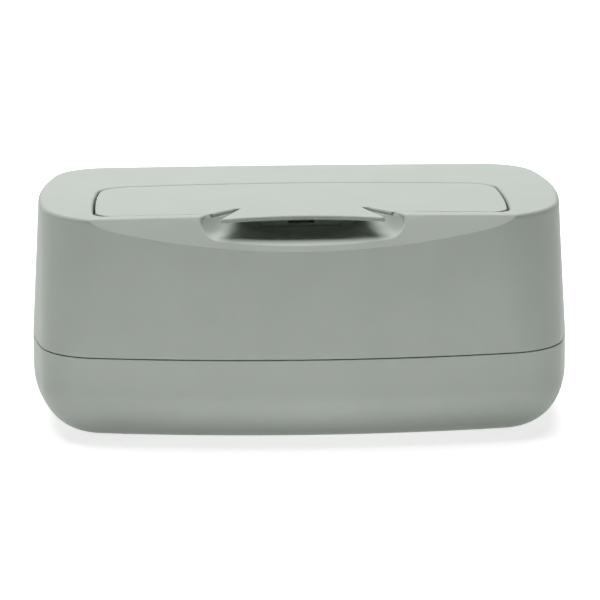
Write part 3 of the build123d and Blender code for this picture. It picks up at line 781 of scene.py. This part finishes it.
bpy.ops.mesh.primitive_plane_add(size=FLOOR_SIZE, location=(0, 0, 0))
floor = bpy.context.object
floor.name = "floor"
material = bpy.data.materials.new("floor_paper")
material.use_nodes = True
tree = material.node_tree
paper = tree.nodes["Principled BSDF"]
paper.inputs["Base Color"].default_value = PAPER
paper.inputs["Roughness"].default_value = 0.9
paper.inputs["Specular IOR Level"].default_value = 0.0
glow = add_node(tree, "ShaderNodeEmission", Color=WHITE)
away = tree.nodes.new("ShaderNodeVectorMath")
away.operation = "LENGTH"
tree.links.new(tree.nodes.new("ShaderNodeTexCoord").outputs["Object"], away.inputs[0])
fade = add_node(
    tree,
    "ShaderNodeMapRange",
    From_Min=FADE_START,
    From_Max=FADE_END,
    To_Min=GLOW,
    To_Max=1.0,
)
tree.links.new(away.outputs["Value"], fade.inputs["Value"])
strength = tree.nodes.new("ShaderNodeMath")
strength.operation = "MULTIPLY"
tree.links.new(fade.outputs["Result"], strength.inputs[1])
tree.links.new(seen_directly(tree), strength.inputs[0])
tree.links.new(strength.outputs["Value"], glow.inputs["Strength"])
both = tree.nodes.new("ShaderNodeAddShader")
tree.links.new(paper.outputs["BSDF"], both.inputs[0])
tree.links.new(glow.outputs["Emission"], both.inputs[1])
tree.links.new(both.outputs["Shader"], tree.nodes["Material Output"].inputs["Surface"])
floor.data.materials.append(material)
print("floor and world ready")


# %% [markdown]
# ## Lamps
#
# One large softbox hangs above and a little behind, so the deck and the lid are the brightest faces
# and the scoop under the tongue stays dark. Two cards lie on the floor and throw light back up, as
# white paper does, and they light the front and the rolled underside. The cards are hidden from the
# camera.


# %% Softboxes
def softbox(name, place, aim, size, power, hidden=False):
    """A rectangular area lamp at a place, turned to a point; metres and watts."""
    lamp = bpy.data.lights.new(name, "AREA")
    lamp.shape = "RECTANGLE"
    lamp.size, lamp.size_y = size
    lamp.energy = power
    holder = bpy.data.objects.new(name, lamp)
    bpy.context.scene.collection.objects.link(holder)
    holder.location = place
    holder.rotation_euler = (Vector(aim) - Vector(place)).to_track_quat("-Z", "Y").to_euler()
    holder.visible_camera = not hidden
    print(name, "at", place, power, "W")


CENTRE = (0, 0, 0.06)
CARD_LEVEL = 0.0005
softbox("key_rear_top", (-0.10, 0.42, 1.20), CENTRE, (1.3, 1.2), 20.4)
softbox("card_front", (-0.20, -0.29, CARD_LEVEL), (-0.20, -0.29, 1), (1.1, 0.42), 1.12, hidden=True)
softbox("card_wide", (0, 0, CARD_LEVEL), (0, 0, 1), (1.6, 1.6), 1.2, hidden=True)

# %% [markdown]
# ## Camera
#
# A long lens from two metres away, a little above the lid, looks almost straight at the front.

# %% Camera
LENS = 262.73
DISTANCE = 1.98027
PITCH = 0.222901
YAW = 0.036616
ROLL = -0.004247
SLIDE = (-0.000547, -0.005001)
TARGET = Vector((0, 0, 0.0458))

forward = Vector((0, math.cos(PITCH), -math.sin(PITCH)))
right = Vector((1, 0, 0))
up = Vector((0, math.sin(PITCH), math.cos(PITCH)))
eye = -DISTANCE * forward - SLIDE[0] * right - SLIDE[1] * up
right, up = (
    right * math.cos(ROLL) + up * math.sin(ROLL),
    up * math.cos(ROLL) - right * math.sin(ROLL),
)
turn = Matrix.Rotation(-YAW, 3, "Z")
right, up, forward = turn @ right, turn @ up, turn @ forward
camera_data = bpy.data.cameras.new("camera")
camera_data.lens = LENS
camera_data.sensor_width = 36.0
camera_data.sensor_fit = "HORIZONTAL"
camera_data.clip_start, camera_data.clip_end = 0.1, 20.0
camera = bpy.data.objects.new("camera", camera_data)
bpy.context.scene.collection.objects.link(camera)
axes = Matrix((right, up, -forward)).transposed().to_4x4()
camera.matrix_world = Matrix.Translation(TARGET + turn @ eye) @ axes
bpy.context.scene.camera = camera
bpy.context.scene.view_settings.view_transform = "Standard"
print("camera at", [round(v, 3) for v in camera.matrix_world.translation])
